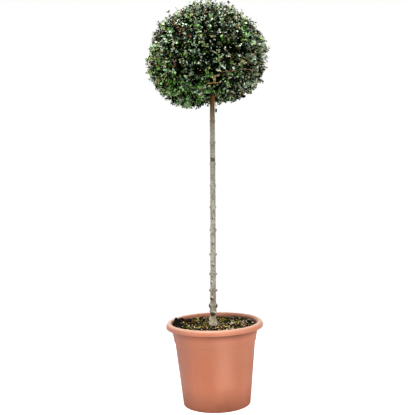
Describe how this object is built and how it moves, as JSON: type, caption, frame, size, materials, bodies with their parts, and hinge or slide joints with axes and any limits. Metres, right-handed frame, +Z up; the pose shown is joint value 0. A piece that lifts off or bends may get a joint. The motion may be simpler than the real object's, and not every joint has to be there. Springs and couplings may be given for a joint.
{
  "type": "standard lollipop topiary in a pot",
  "caption": "Clipped small-leaved evergreen ball on a tall straight bare stem, growing in a round flared plastic pot with a rolled rim.",
  "frame": {"origin": "centre of the flat underside of the pot, on the surface that it stands on", "axes": "+Z up along the stem, +X to the right and -Y towards the front"},
  "size_m": [0.4934, 0.5042, 1.6471],
  "materials": {
    "pot_plastic": "terracotta-coloured moulded plastic, satin",
    "potting_mix": "dark bark-based potting mix, moist",
    "moss": "dark moss",
    "bark": "pale grey-beige bark with pruned stubs",
    "young_bark": "orange-brown young bark",
    "foliage": "small glossy evergreen leaves, clipped"
  },
  "bodies": {
    "root": {"pot": "pot_plastic", "soil": "potting_mix", "moss_clump": "moss", "trunk": "bark", "bough_left": "young_bark", "bough_right": "young_bark", "bough_front": "young_bark", "bough_back": "young_bark", "bough_leader": "young_bark", "foliage_head": "foliage"}
  },
  "joints": []
}
